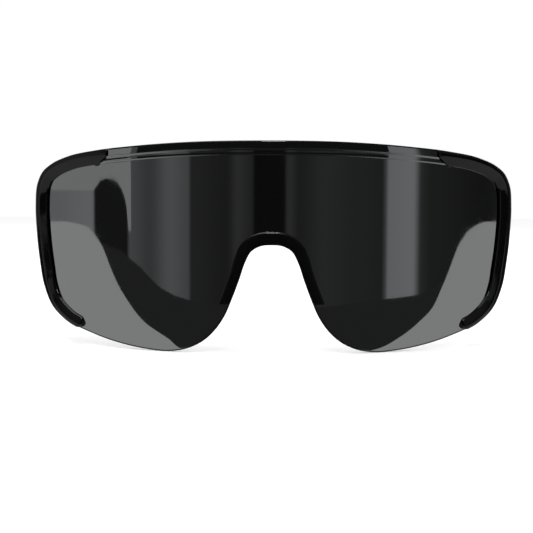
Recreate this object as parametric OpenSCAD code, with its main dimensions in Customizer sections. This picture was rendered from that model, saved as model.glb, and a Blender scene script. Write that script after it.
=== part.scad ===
// Wrap-round shield sunglasses, standing on the lens's two lower lobes and on the temple tips.
// +X is the wearer's left, -Y the front, +Z up. The origin is under the middle of the whole part.

/* [Front] */
// Overall width across the two side rims
front_w = 149; // [138:1:156]
// Height of the shield, from the lowest points of its lobes to its top edge
front_h = 60.8; // [56:0.2:66]
// Radius of the lens's front face about its upright axis
wrap_r = 96; // [90:1:120]
// Thickness of the lens
lens_t = 2; // [1.6:0.1:2.4]

/* [Top ledge] */
// Height of the whole stepped ledge along the top edge
ledge_h = 3.9; // [3:0.1:5]
// Height of its upper face
ledge_face_h = 2.2; // [1.5:0.1:2.6]
// How far the upper face stands in front of the lens
ledge_proud = 1.2; // [0.8:0.1:1.6]
// How far the lower face of the ledge stands in front of the lens
ledge_low_proud = 0.5; // [0.2:0.1:0.7]

/* [Nose] */
// Distance between the lowest points of the two lobes
notch_w = 60.4; // [56:0.2:66]
// Height of the nose opening above the lobes' lowest points
notch_h = 31.2; // [28:0.2:34]
// Width of the nose bridge over the top of the opening
bridge_top_w = 3.8; // [3:0.1:4.6]
// Width of the nose bridge down its legs
bridge_leg_w = 3.2; // [2.8:0.1:4]
// Height at which the legs of the nose bridge end
bridge_low_z = 14.3; // [12.5:0.1:16]
// How far the bridge stands in front of the lens
bridge_proud = 0.8; // [0.5:0.1:1.2]
// Thickness of the bridge behind the lens
bridge_back = 1.3; // [1:0.1:1.8]
// Bridge material between the opening and the lens's edge
bridge_web = 1.2; // [0.9:0.1:1.6]
// Depth of the wing that holds a nose pad
wing_d = 7.5; // [5:0.1:9]
// Height of that wing
wing_h = 9; // [7:0.5:10]
// Thickness of that wing
wing_t = 1.2; // [0.9:0.1:1.4]
// Angle by which the pads open towards the face
pad_splay = 24; // [15:1:32]
// Height of a nose pad
pad_h = 15; // [13:0.5:17]
// Thickness of a nose pad
pad_t = 3.2; // [2.8:0.1:4]

/* [Side rims] */
// Width of a rim along the top
rim_top_w = 4.2; // [4:0.1:5]
// Width of a rim down the side
rim_side_w = 4.7; // [4.2:0.1:5.6]
// Width of a rim at its lower end
rim_end_w = 3.6; // [3.4:0.1:4.5]
// How far a rim stands in front of the lens
rim_proud = 1.6; // [1.2:0.1:2.2]
// How far its inner bevel stands in front of the lens
rim_bevel_proud = 0.8; // [0.7:0.1:1.1]
// Thickness of a rim behind the lens
rim_back = 1.4; // [1.1:0.1:2]
// Rim material outside the lens's edge
rim_web = 1.1; // [0.8:0.1:1.4]

/* [Hinges] */
// Length of a rim's end piece behind the rim
lug_l = 3; // [2:0.1:6]
// Thickness of the end piece, and of the temple beside it
lug_t = 4.4; // [3.8:0.1:5.2]
// Height of the end piece, and of the temple beside it
lug_h = 13; // [11:0.5:15]
// Gap between the end piece and the open temple
butt_gap = 0.2; // [0.15:0.05:0.4]
// Thickness of a hinge leaf
leaf_t = 0.9; // [0.7:0.1:1.1]
// Length of a hinge leaf
leaf_l = 5.6; // [4.6:0.1:6]
// Height of a hinge leaf
leaf_h = 8; // [7.6:0.2:9]
// Radius of the hinge's knuckles
knuckle_r = 1.55; // [1.3:0.05:1.7]
// Height of one knuckle
knuckle_h = 2.4; // [2:0.1:2.5]
// Radius of the hinge pin
pin_r = 0.7; // [0.5:0.05:0.8]

/* [Temples] */
// Length of a temple from the hinge pin to the start of its bend
temple_l = 84; // [78:1:88]
// Slope of a temple towards the ear
temple_slope = 8; // [5:0.5:11]
// Angle by which the open temples close in
temple_in = 3; // [1:0.5:4]
// Radius of the bend over the ear
bend_r = 30; // [20:1:40]
// Slope of the tail behind the ear
tail_slope = 42; // [34:1:55]
// Length of the temple that shows in front of the rubber tip
bare_l = 68; // [60:1:72]
// Height of a temple where the rubber tip starts
neck_h = 7.4; // [6.4:0.2:9]
// Thickness of a temple where the rubber tip starts
neck_t = 3.2; // [2.8:0.1:3.8]
// Height of the rubber tip over the ear
tip_h = 8.4; // [7.6:0.2:10]
// Thickness of the rubber tip
tip_t = 4.2; // [3.8:0.1:5]
// Radius of the rubber tip's round end
tip_end_r = 3.7; // [3.2:0.1:4.4]
// Radius of the bendable core wire
wire_r = 0.7; // [0.5:0.05:0.8]

/* [Screws and fits] */
// Radius of the small screws' shanks
screw_r = 0.6; // [0.5:0.05:0.65]
// Radius of their heads
screw_head_r = 1.1; // [1:0.05:1.2]
// Height of their heads
screw_head_h = 0.5; // [0.4:0.05:0.7]
// Clearance of pieces that fit in or round each other
fit = 0.05; // [0.03:0.01:0.08]

/* [Hidden] */

// Overrun of every cut past the face it opens, and of pieces that join inside each other
over = lens_t;

// Outer edge of the front, from the middle of the top round the side to a lobe,
// in shares of half the front's width and of its height
edge_shares = [[0, 1], [0.306, 0.995], [0.546, 0.978], [0.698, 0.961], [0.834, 0.933],
               [0.913, 0.898], [0.96, 0.859], [0.989, 0.799], [1, 0.691], [0.995, 0.559],
               [0.979, 0.406], [0.956, 0.28], [0.915, 0.183], [0.848, 0.116], [0.718, 0.058],
               [0.588, 0.021], [0.483, 0.004]];
// Nose opening from a lobe up to its middle, in shares of half its width and of its height
notch_shares = [[1, 0], [0.814, 0.032], [0.648, 0.112], [0.53, 0.221], [0.447, 0.34],
                [0.378, 0.494], [0.305, 0.683], [0.248, 0.843], [0.191, 0.942], [0.09, 0.994],
                [0, 1]];
// Points drawn for each stretch between two of those places
steps = 4;
// Ends of the stretches along the edge, counted in the places above
top_end = 4;
rim_first = 2;
rim_last = 15;
notch_first = 20;
// Where a rim ends on the top edge, in shares of half the front's width
rim_top_share = 0.652;
// That end is upright down to the first depth below the front's top, and from there cut back
// by rim_hook down to the second depth
rim_cut = [0.98 * rim_top_w, 1.55 * rim_top_w];
rim_hook = 0.76 * rim_top_w;
// The round lower end of a rim is centred between these two places on the edge, this share of the way
rim_end_places = [13, 14];
rim_end_share = 0.38;
// Share of a rim's width that its rounded outer band takes
rim_band_share = 0.72;
// Where the screws of a rim lie along the edge, counted in the places above, and how far in
screw_places = [4, 10];
screw_in = rim_web + 2.3 * screw_r;
// Height of the hinge on the side rim, in shares of the front's height
hinge_share = 0.691;
// Places on the edge between which the wing of a nose pad sits on its leg
wing_places = [notch_first + 2, notch_first + 4];
// Stretches drawn along the arm and along the bend, and the angle between points round the tip's end
stretches = 8;
end_step = 10;

half_w = front_w / 2;
function mid(a, b, s) = a + (b - a) * s;
function flip(p) = [-p.x, p.y];

// The edge's places in millimetres, and the smooth curve through them
places = concat([for (s = edge_shares) [s.x * half_w, s.y * front_h]],
                [for (s = notch_shares) [s.x * notch_w / 2, s.y * notch_h]]);
last = len(places) - 1;
function place(i) = i < 0 ? flip(places[-i]) : i > last ? flip(places[2 * last - i]) : places[i];
function pull(i) = let (a = place(i - 1), b = place(i), c = place(i + 1), u = norm(b - a), v = norm(c - b))
    ((b - a) / u * v + (c - b) / v * u) / (u + v);
function through(i, s) = let (a = places[i], b = places[i + 1], d = norm(b - a))
    a * (2 * s ^ 3 - 3 * s ^ 2 + 1) + b * (3 * s ^ 2 - 2 * s ^ 3)
    + d * (pull(i) * (s ^ 3 - 2 * s ^ 2 + s) + pull(i + 1) * (s ^ 3 - s ^ 2));
raw = concat([for (i = [0:last - 1], k = [0:steps - 1]) through(i, k / steps)], [places[last]]);
// The curve is set to the stated width and height, with its lowest points on z = 0
raw_low = min([for (p = raw) p.y]);
raw_high = max([for (p = raw) p.y]);
raw_wide = max([for (p = raw) p.x]);
edge = [for (p = raw) [p.x * half_w / raw_wide, (p.y - raw_low) * front_h / (raw_high - raw_low)]];
end = len(edge) - 1;
function on_edge(i) = i < 0 ? flip(edge[-i]) : i > end ? flip(edge[2 * end - i]) : edge[i];
// A point of the edge moved w into the lens
function inset(i, w) = let (d = on_edge(i + 1) - on_edge(i - 1)) edge[i] + w * [d.y, -d.x] / norm(d);

// Depth behind the lens's foremost line of the upright cylinder of radius r, at x
function depth(x, r) = wrap_r - sqrt(r ^ 2 - x ^ 2);

// Hinge: the butt plane is lug_l behind the rim, and the pin is inside the end piece
lug_out = half_w - lug_t / 9;
lug_in = lug_out - lug_t;
hinge_x = lug_in - knuckle_r - fit;
hinge_y = depth(half_w, wrap_r - lens_t - rim_back) + lug_l;
hinge_z = hinge_share * front_h;
pin_head_r = knuckle_r - 4 * fit;
pin_head_h = knuckle_h / 3;
leaf_screw_z = leaf_h / 2 - 1.5 * screw_head_r;
leaf_grip = 2 * lug_t / 3;

// Centre line of a temple in its own plane, measured from the hinge pin
function along(l, a) = l * [cos(a), -sin(a)];
function across(l, a) = l * [sin(a), cos(a)];
bend_at = along(temple_l, temple_slope) - across(bend_r, temple_slope);
tail_at = bend_at + across(bend_r, tail_slope);
bend_l = bend_r * (tail_slope - temple_slope) * PI / 180;
tail_l = (hinge_z + tail_at.y - tip_end_r) / sin(tail_slope);
temple_end = temple_l + bend_l + tail_l;
function turn(s) = mid(temple_slope, tail_slope, max(0, min(1, (s - temple_l) / bend_l)));
function centre(s) = s <= temple_l ? along(s, temple_slope)
    : s <= temple_l + bend_l ? bend_at + across(bend_r, turn(s))
    : tail_at + along(s - temple_l - bend_l, tail_slope);
// How far the rubber tip stands proud of the temple where it starts
tip_lip = (tip_t - neck_t) / 2;
// Height of a temple and of its rubber tip, at lengths from the hinge pin
temple_heights = [[0, lug_h], [0.15 * bare_l, 0.98 * lug_h], [0.45 * bare_l, mid(neck_h, lug_h, 0.5)],
                  [0.75 * bare_l, mid(neck_h, lug_h, 0.12)], [bare_l, neck_h]];
tip_heights = [[bare_l, neck_h + 2 * tip_lip], [temple_l, tip_h], [temple_l + bend_l, tip_h],
               [temple_end, 2 * tip_end_r]];
// Lengths at which the tip's outline has a point, before its round end
tip_lengths = concat([bare_l + fit], [for (k = [0:stretches]) temple_l + k / stretches * bend_l]);
// Tongue of the temple that the rubber tip is pushed on
tongue_h = 0.6 * neck_h;
tongue_t = 0.62 * neck_t;
tongue_end = temple_l - tip_end_r / 2;
// The core wire starts in the temple and stops short of the tip's end
wire_start = bare_l / 2;
wire_stop = tail_l - 2 * tip_end_r;
// Middle of the temple's thickness, from the hinge pin
temple_x = (lug_in + lug_out) / 2 - hinge_x;

// The part's foremost and rearmost points, and its middle, which is the origin
front_y = -ledge_proud;
tip_reach = centre(temple_end).x + tip_end_r;
back_y = hinge_y + tip_reach * cos(temple_in) + (temple_x + tip_t / 2) * sin(temple_in);
mid_y = (front_y + back_y) / 2;

// Nose pads: the legs' lean, and the place on a leg where the wing starts
leg_a = edge[wing_places[0] * steps];
leg_b = edge[wing_places[1] * steps];
leg_lean = atan((leg_a.x - leg_b.x) / (leg_b.y - leg_a.y));
wing_x = (leg_a.x + leg_b.x) / 2 + bridge_leg_w / 2;
wing_z = (leg_a.y + leg_b.y) / 2 + pad_t / 2;
wing_y = depth(wing_x, wrap_r - lens_t - bridge_back);
pad_gap = pad_t / 5;
pad_r = pad_t / 2;

round_fn = 200;
screw_fn = 32;
pad_fn = 24;

// Puts the front's datum, the lens's foremost line, at its place before the origin
module placed() { translate([0, -mid_y, 0]) children(); }
module right() { mirror([1, 0, 0]) children(); }

// Flat shape in front view, given the lens's wrap, from back behind its front face to proud before it
module wrapped(back, proud) {
    intersection() {
        translate([0, wrap_r, 0]) rotate([90, 0, 0]) linear_extrude(height = 2 * wrap_r) children();
        translate([0, wrap_r, -front_h]) difference() {
            cylinder(r = wrap_r + proud, h = 3 * front_h, $fn = round_fn);
            translate([0, 0, -over]) cylinder(r = wrap_r - back, h = 3 * front_h + 2 * over, $fn = round_fn);
        }
    }
}

// Direction of the edge at a rim's lower end, and the middle of that round end
low_way = (places[rim_end_places[1]] - places[rim_end_places[0]])
    / norm(places[rim_end_places[1]] - places[rim_end_places[0]]);
low_in = [low_way.y, -low_way.x];
low_middle = mid(places[rim_end_places[0]], places[rim_end_places[1]], rim_end_share)
    + low_in * rim_end_w / 2;

// Band along the middle of the top edge, over both sides
module top_band(u, v) {
    n = top_end * steps;
    polygon(concat([for (i = [n:-1:1]) flip(inset(i, u))], [for (i = [0:n]) inset(i, u)],
                   [for (i = [n:-1:1]) inset(i, v)], [for (i = [0:n]) flip(inset(i, v))]));
}

// Width of a rim at the edge point i, and of the nose bridge
rim_widths = [[0, rim_end_w], [0.1 * front_h, rim_end_w], [0.35 * front_h, rim_side_w],
              [0.78 * front_h, rim_side_w], [0.93 * front_h, rim_top_w], [front_h, rim_top_w]];
function rim_w(i) = lookup(edge[i].y, rim_widths);
bridge_widths = [[0.75 * notch_h, bridge_leg_w], [notch_h, bridge_top_w]];
function bridge_w(i) = lookup(edge[i].y, bridge_widths);

// Band of one rim in front view, from u widths plus du in from the edge to v widths plus dv
module rim_band(u, du, v, dv) {
    a = rim_first * steps;
    b = rim_last * steps;
    polygon(concat([for (i = [a:b]) inset(i, u * rim_w(i) + du)],
                   [for (i = [b:-1:a]) inset(i, v * rim_w(i) + dv)]));
}

// The part of the front view that a rim's band is cut to, grown by gap at its two ends
module rim_zone(gap) {
    top_x = rim_top_share * half_w - gap;
    polygon([[top_x, front_h - rim_cut[0]], [top_x, front_h + over], [half_w + 2 * over, front_h + over],
             [half_w + 2 * over, -over], low_middle - rim_end_w * low_in, low_middle + rim_end_w * low_in,
             [top_x + rim_hook, front_h / 2], [top_x + rim_hook, front_h - rim_cut[1]]]);
    translate(low_middle) circle(r = rim_end_w / 2 + gap, $fn = 2 * screw_fn);
}

// Band of the nose bridge in front view, over both legs
module bridge_band(u, du, v, dv) {
    a = notch_first * steps;
    polygon(concat([for (i = [a:end]) inset(i, u * bridge_w(i) + du)],
                   [for (i = [end - 1:-1:a]) flip(inset(i, u * bridge_w(i) + du))],
                   [for (i = [a:end]) flip(inset(i, v * bridge_w(i) + dv))],
                   [for (i = [end - 1:-1:a]) inset(i, v * bridge_w(i) + dv)]));
}

// Everything in front view above the height z
module above(z) { translate([-front_w, z]) square([2 * front_w, 2 * front_h]); }

// Upright cylinder along the lens's normal, through the rim at the place k, from radius r0 to r1
module rim_bore(k, r, r0, r1) {
    at = inset(k * steps, screw_in);
    translate([0, wrap_r, at.y]) rotate([0, 0, asin(at.x / wrap_r)]) rotate([90, 0, 0])
        translate([0, 0, r0]) cylinder(r = r, h = r1 - r0, $fn = screw_fn);
}

// The raised ledge in front view, between the two rims
module ledge() {
    difference() {
        top_band(-over, ledge_h);
        for (side = [0, 1]) mirror([side, 0]) rim_zone(2 * fit);
    }
}

// One-piece shield: its face is cut back below the ledge, and its edge where the rims and the bridge sit
module lens_body() {
    difference() {
        wrapped(lens_t, ledge_proud) polygon(concat(edge, [for (i = [end - 1:-1:1]) flip(edge[i])]));
        wrapped(0, ledge_proud + over) difference() {
            translate([-front_w, -front_h]) square([2 * front_w, 3 * front_h]);
            ledge();
        }
        wrapped(-ledge_low_proud, ledge_proud + over) top_band(ledge_face_h, ledge_h + over);
        for (side = [0, 1]) mirror([side, 0, 0]) {
            wrapped(lens_t + over, ledge_proud + over) intersection() {
                rim_band(0, -over, 0, rim_web);
                rim_zone(fit);
            }
            for (k = screw_places) rim_bore(k, screw_r + fit, wrap_r - lens_t - over, wrap_r + over);
        }
        wrapped(lens_t + over, over) intersection() {
            bridge_band(0, -over, 0, bridge_web);
            above(bridge_low_z - fit);
        }
    }
}

// C-shaped rim with a groove for the lens's edge, and the end piece that carries the hinge
module rim() {
    back_r = wrap_r - lens_t - rim_back;
    difference() {
        union() {
            wrapped(lens_t + rim_back, rim_proud) intersection() {
                rim_band(0, 0, 1, 0);
                rim_zone(0);
            }
            intersection() {
                translate([lug_in, 0, hinge_z - lug_h / 2]) cube([lug_t, hinge_y, lug_h]);
                translate([0, wrap_r, 0]) cylinder(r = back_r + rim_back / 2, h = front_h, $fn = round_fn);
            }
        }
        wrapped(-rim_bevel_proud, rim_proud + over) rim_band(rim_band_share, 0, 1, over);
        wrapped(lens_t + fit, fit) rim_band(0, rim_web - fit, 1, over);
        for (k = screw_places) {
            rim_bore(k, screw_r + fit, back_r - over, wrap_r + 0.7 * rim_bevel_proud);
            rim_bore(k, screw_head_r + fit, back_r - over, back_r + rim_back / 3);
        }
        leaf_screw_bores(-1);
    }
}

// Screws that lock a rim to the lens, from behind
module rim_screws() {
    seat_r = wrap_r - lens_t - rim_back + rim_back / 3 - fit;
    for (k = screw_places) {
        rim_bore(k, screw_r, seat_r - screw_head_h / 2, wrap_r + 0.7 * rim_bevel_proud - fit);
        rim_bore(k, screw_head_r, seat_r - screw_head_h, seat_r);
    }
}

// Wing of the bridge that a nose pad is pushed on, grown by gap
module wing(gap) {
    translate([-wing_t / 2 - gap, -bridge_back / 2, -wing_h / 2 - gap])
        cube([wing_t + 2 * gap, wing_d + bridge_back / 2 + gap, wing_h + 2 * gap]);
}

// Frame of the left nose pad: its middle on the back of the leg, leaning with the leg
module pad_frame() {
    translate([wing_x, wing_y, wing_z]) rotate([0, -leg_lean, 0]) rotate([0, 0, -pad_splay]) children();
}

// Arch that grips the notch edge of the lens, with a wing behind each leg
module bridge() {
    difference() {
        union() {
            wrapped(lens_t + bridge_back, bridge_proud) intersection() {
                bridge_band(0, 0, 1, 0);
                above(bridge_low_z);
            }
            for (side = [0, 1]) mirror([side, 0, 0]) pad_frame() wing(0);
        }
        wrapped(lens_t + fit, fit) bridge_band(0, bridge_web - fit, 1, over);
    }
}

// Soft pad with a pocket for the wing
module nose_pad() {
    pad_frame() difference() {
        hull() for (z = [-1, 1]) {
            translate([0, pad_gap + pad_r, z * (pad_h / 2 - pad_r)]) sphere(r = pad_r, $fn = pad_fn);
            translate([0, wing_d + pad_r / 2, z * (pad_h / 3 - pad_r / 2)]) sphere(r = pad_r, $fn = pad_fn);
        }
        wing(fit);
    }
}

// Places of the two screws of a leaf, in front of the pin (way = -1) or behind it (way = 1)
module leaf_screw_at(way) {
    for (z = [-1, 1])
        translate([hinge_x, hinge_y, hinge_z + z * leaf_screw_z]) rotate([0, 0, max(0, way) * temple_in])
            translate([knuckle_r + fit, way * (knuckle_r + leaf_l * 0.55), 0]) rotate([0, 90, 0]) children();
}

module leaf_screw_bores(way) {
    leaf_screw_at(way) translate([0, 0, -over])
        cylinder(r = screw_r + fit, h = leaf_grip + over + fit, $fn = screw_fn);
}

module leaf_screws(way) {
    leaf_screw_at(way) {
        translate([0, 0, -leaf_t - screw_head_h]) {
            cylinder(r = screw_head_r, h = screw_head_h, $fn = screw_fn);
            translate([0, 0, screw_head_h / 2])
                cylinder(r = screw_r, h = leaf_grip + leaf_t + screw_head_h / 2, $fn = screw_fn);
        }
    }
}

// Hinge leaf on the inner face: its plate, and a knuckle at each of the levels -1, 0 and 1
module hinge_leaf(way, levels) {
    clear = knuckle_r + 4 * fit;
    difference() {
        translate([hinge_x, hinge_y, hinge_z]) rotate([0, 0, max(0, way) * temple_in]) union() {
            translate([knuckle_r + fit - leaf_t, way > 0 ? clear : -clear - leaf_l, -leaf_h / 2])
                cube([leaf_t, leaf_l, leaf_h]);
            for (k = levels) translate([0, 0, k * knuckle_h - knuckle_h / 2 + fit / 2]) difference() {
                union() {
                    cylinder(r = knuckle_r, h = knuckle_h - fit, $fn = screw_fn);
                    translate([knuckle_r + fit - leaf_t, way > 0 ? 0 : -clear - leaf_l / 2, 0])
                        cube([leaf_t, clear + leaf_l / 2, knuckle_h - fit]);
                }
                translate([0, 0, -over]) cylinder(r = pin_r + fit, h = knuckle_h + 2 * over, $fn = screw_fn);
            }
        }
        leaf_screw_bores(way);
    }
}

// Hinge pin with its head on the upper knuckle
module hinge_screw() {
    translate([hinge_x, hinge_y, hinge_z - 1.5 * knuckle_h + fit / 2]) {
        cylinder(r = pin_r, h = 3 * knuckle_h + pin_head_h / 2, $fn = screw_fn);
        translate([0, 0, 3 * knuckle_h]) cylinder(r = pin_head_r, h = pin_head_h, $fn = screw_fn);
    }
}

// Frame of the left temple: the hinge pin, with +Y along the temple as it closes in
module temple_frame() { translate([hinge_x, hinge_y, hinge_z]) rotate([0, 0, temple_in]) children(); }

// Side view of a temple between two lengths, with the heights of a table
module ribbon(lengths, heights) {
    polygon(concat([for (s = lengths) centre(s) + across(lookup(s, heights) / 2, turn(s))],
                   [for (i = [len(lengths) - 1:-1:0]) let (s = lengths[i])
                       centre(s) - across(lookup(s, heights) / 2, turn(s))]));
}

// Side view given a thickness about the temple's middle plane
module plate(thickness) {
    translate([temple_x - thickness / 2, 0, 0]) rotate([90, 0, 90])
        linear_extrude(height = thickness) children();
}

// Moulded side arm, tapered from the hinge to the neck, with the tongue for the rubber tip
module arm() {
    difference() {
        temple_frame() {
            intersection() {
                plate(lug_t) ribbon([for (k = [0:stretches]) k / stretches * bare_l], temple_heights);
                translate([temple_x, 0, -lug_h * 2]) linear_extrude(height = lug_h * 3)
                    polygon([[-lug_t / 2, 0], [lug_t / 2, 0], [neck_t / 2, bare_l], [-neck_t / 2, bare_l]]);
            }
            plate(tongue_t) ribbon([bare_l - over, tongue_end], [[0, tongue_h], [temple_end, tongue_h]]);
        }
        translate([0, hinge_y + butt_gap - lug_h, hinge_z - lug_h]) cube([front_w, lug_h, 2 * lug_h]);
        leaf_screw_bores(1);
        temple_frame() wire_path(wire_r + fit, wire_start - fit);
    }
}

// Core wire's run from the length start, round the bend with radius r + more, and down the tail.
// The straight runs reach into the bend by one clearance.
module wire_path(r, start, more = 0) {
    translate([temple_x, 0, 0]) {
        rotate([-temple_slope, 0, 0]) translate([0, start, 0]) rotate([-90, 0, 0])
            cylinder(r = r, h = temple_l - start + fit, $fn = screw_fn);
        translate([0, bend_at.x, bend_at.y]) rotate([90, 0, 90]) rotate([0, 0, 90 - tail_slope])
            rotate_extrude(angle = tail_slope - temple_slope, $fn = round_fn)
                translate([bend_r, 0]) circle(r = r + more, $fn = screw_fn);
        translate([0, tail_at.x, tail_at.y]) rotate([-tail_slope, 0, 0]) rotate([-90, 0, 0])
            translate([0, 0, -fit]) cylinder(r = r, h = wire_stop + (r - wire_r) + fit, $fn = screw_fn);
    }
}

module core_wire() { temple_frame() wire_path(wire_r, wire_start, -fit / 2); }

// Rubber ear tip over the tongue and the wire, with a round end
module tip() {
    temple_frame() difference() {
        plate(tip_t) polygon(concat(
            [for (s = tip_lengths) centre(s) + across(lookup(s, tip_heights) / 2, turn(s))],
            [for (a = [90 - tail_slope:-end_step:-90 - tail_slope])
                centre(temple_end) + tip_end_r * [cos(a), sin(a)]],
            [for (i = [len(tip_lengths) - 1:-1:0]) let (s = tip_lengths[i])
                centre(s) - across(lookup(s, tip_heights) / 2, turn(s))]));
        plate(tongue_t + 2 * fit)
            ribbon([bare_l - over, tongue_end + fit],
                   [[0, tongue_h + 2 * fit], [temple_end, tongue_h + 2 * fit]]);
        wire_path(wire_r + fit, bare_l, fit);
    }
}

module lens() { color("dimgray") placed() lens_body(); }
module left_rim() { color("black") placed() rim(); }
module right_rim() { color("black") placed() right() rim(); }
module left_lens_screws() { color("silver") placed() rim_screws(); }
module right_lens_screws() { color("silver") placed() right() rim_screws(); }
module nose_bridge() { color("#181818") placed() bridge(); }
module left_nose_pad() { color("#202020") placed() nose_pad(); }
module right_nose_pad() { color("#202020") placed() right() nose_pad(); }
module left_front_leaf() { color("silver") placed() hinge_leaf(-1, [0]); }
module right_front_leaf() { color("silver") placed() right() hinge_leaf(-1, [0]); }
module left_front_leaf_screws() { color("gray") placed() leaf_screws(-1); }
module right_front_leaf_screws() { color("gray") placed() right() leaf_screws(-1); }
module left_temple_leaf() { color("silver") placed() hinge_leaf(1, [-1, 1]); }
module right_temple_leaf() { color("silver") placed() right() hinge_leaf(1, [-1, 1]); }
module left_temple_leaf_screws() { color("gray") placed() leaf_screws(1); }
module right_temple_leaf_screws() { color("gray") placed() right() leaf_screws(1); }
module left_hinge_screw() { color("gray") placed() hinge_screw(); }
module right_hinge_screw() { color("gray") placed() right() hinge_screw(); }
module left_temple() { color("#101010") placed() arm(); }
module right_temple() { color("#101010") placed() right() arm(); }
module left_core_wire() { color("silver") placed() core_wire(); }
module right_core_wire() { color("silver") placed() right() core_wire(); }
module left_temple_tip() { color("#282828") placed() tip(); }
module right_temple_tip() { color("#282828") placed() right() tip(); }

lens();
left_rim();
right_rim();
left_lens_screws();
right_lens_screws();
nose_bridge();
left_nose_pad();
right_nose_pad();
left_front_leaf();
right_front_leaf();
left_front_leaf_screws();
right_front_leaf_screws();
left_temple_leaf();
right_temple_leaf();
left_temple_leaf_screws();
right_temple_leaf_screws();
left_hinge_screw();
right_hinge_screw();
left_temple();
right_temple();
left_core_wire();
right_core_wire();
left_temple_tip();
right_temple_tip();
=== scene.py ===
# Wrap-round shield sunglasses with open temples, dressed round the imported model.
# +X is the wearer's left, -Y the front, +Z up, and the glasses stand on z = 0.
import math

import bmesh
import bpy
import numpy as np
from mathutils import Matrix, Vector, geometry


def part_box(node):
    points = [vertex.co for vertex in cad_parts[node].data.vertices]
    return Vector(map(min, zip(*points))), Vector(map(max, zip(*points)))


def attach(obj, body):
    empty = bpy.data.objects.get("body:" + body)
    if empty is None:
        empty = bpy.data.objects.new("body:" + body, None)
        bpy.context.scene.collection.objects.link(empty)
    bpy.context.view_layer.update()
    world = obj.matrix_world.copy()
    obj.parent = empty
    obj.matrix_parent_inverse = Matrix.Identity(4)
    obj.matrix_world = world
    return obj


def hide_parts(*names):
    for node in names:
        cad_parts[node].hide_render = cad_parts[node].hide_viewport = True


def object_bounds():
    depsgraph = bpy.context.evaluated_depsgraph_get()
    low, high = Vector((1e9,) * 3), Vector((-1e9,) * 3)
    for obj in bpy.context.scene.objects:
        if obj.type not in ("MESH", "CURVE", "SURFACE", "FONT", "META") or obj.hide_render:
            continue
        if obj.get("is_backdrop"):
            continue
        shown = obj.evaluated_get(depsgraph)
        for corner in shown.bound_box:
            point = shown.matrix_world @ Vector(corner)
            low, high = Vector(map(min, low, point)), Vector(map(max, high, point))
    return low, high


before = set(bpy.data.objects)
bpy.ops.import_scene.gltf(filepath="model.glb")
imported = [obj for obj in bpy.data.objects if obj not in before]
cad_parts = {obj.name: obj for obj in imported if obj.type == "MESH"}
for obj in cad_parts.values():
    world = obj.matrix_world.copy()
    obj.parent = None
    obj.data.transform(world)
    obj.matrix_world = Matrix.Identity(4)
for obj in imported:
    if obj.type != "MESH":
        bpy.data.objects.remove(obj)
cad_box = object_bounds()

# Camera, 320 mm in front of the lens and a little below its top edge, looking slightly down, and turned
# a little to one side. It fits the photograph's frame of 533 x 533 pixels with no shift.
MM = 0.001
view_gap = 320 * MM
view_height = 46.9 * MM
view_aside = 3.1 * MM
view_tilt = math.radians(3.88)
view_turn = math.radians(0.81)
view_roll = math.radians(0.22)
view_focus = 76.3
ledge_proud = 1.2 * MM
lens_low, lens_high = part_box("lens")
lens_face_y = lens_low.y + ledge_proud
scene = bpy.context.scene


def put(name, data):
    """A new object in the scene."""
    made = bpy.data.objects.new(name, data)
    scene.collection.objects.link(made)
    return made


camera = put("camera", bpy.data.cameras.new("camera"))
camera.data.lens = view_focus
camera.location = (view_aside, lens_face_y - view_gap, view_height)
aimed = Matrix.Rotation(view_turn, 3, "Z") @ Matrix.Rotation(math.pi / 2 - view_tilt, 3, "X")
camera.rotation_euler = (aimed @ Matrix.Rotation(view_roll, 3, "Z")).to_euler()
scene.camera = camera
scene.view_settings.view_transform = "Standard"


def add(tree, kind, inputs=(), **settings):
    """A new node of that kind, with its settings. Each input takes a value or a link from an output, where
    a node stands for its first one, and a list gives one input several."""
    made = tree.nodes.new(kind)
    for name, value in settings.items():
        setattr(made, name, value)
    for socket, given in dict(inputs).items():
        for value in given if isinstance(given, list) else [given]:
            if isinstance(value, bpy.types.Node):
                value = value.outputs[0]
            if isinstance(value, bpy.types.NodeSocket):
                tree.links.new(value, made.inputs[socket])
            else:
                made.inputs[socket].default_value = value
    return made


# Studio: a plain white table and walls. What the mirror coat shows of the walls is their tone by compass
# direction, in degrees from straight ahead: black behind the camera, where the studio is unlit, grey at
# both sides, and lighter behind the glasses. Between two heights, given as the sines of their angles over
# the table, every wall fades into the dark ceiling.
wall_tones = ((-180, 0.45), (-150, 0.35), (-133, 0.07), (-125, 0.07), (-100, 0.17), (-77.5, 0.2),
              (-76.5, 0.012), (-59.8, 0.012), (-59.2, 0.09), (-50, 0.06), (-41, 0.12), (-33.4, 0.09),
              (-32.6, 0.025), (-18, 0.018), (-14, 0.04), (-8, 0.025), (-7, 0.006), (4, 0.006), (6, 0.04),
              (10, 0.02), (20, 0.032), (34, 0.025), (44.6, 0.022), (45.8, 0.2), (57, 0.22), (61, 0.03),
              (66, 0.02), (95, 0.012), (130, 0.04), (150, 0.35), (180, 0.45))
fade_low, fade_high = 0.3, 0.6
ceiling_tone = 0.12
daylight = 0.7
world = bpy.data.worlds.new("studio")
world.use_nodes = True
scene.world = world
tree = world.node_tree
tree.nodes.clear()
ray = add(tree, "ShaderNodeLightPath").outputs
way = add(tree, "ShaderNodeSeparateXYZ", {0: add(tree, "ShaderNodeTexCoord").outputs["Generated"]}).outputs
ahead = add(tree, "ShaderNodeMath", {0: way["Y"], 1: -1}, operation="MULTIPLY")
compass = add(tree, "ShaderNodeMath", {0: way["X"], 1: ahead}, operation="ARCTAN2")
turn = add(tree, "ShaderNodeMath", {0: compass, 1: 1 / math.tau, 2: 0.5}, operation="MULTIPLY_ADD")
wall = add(tree, "ShaderNodeValToRGB", {0: turn})
wall.color_ramp.interpolation = "EASE"
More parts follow.
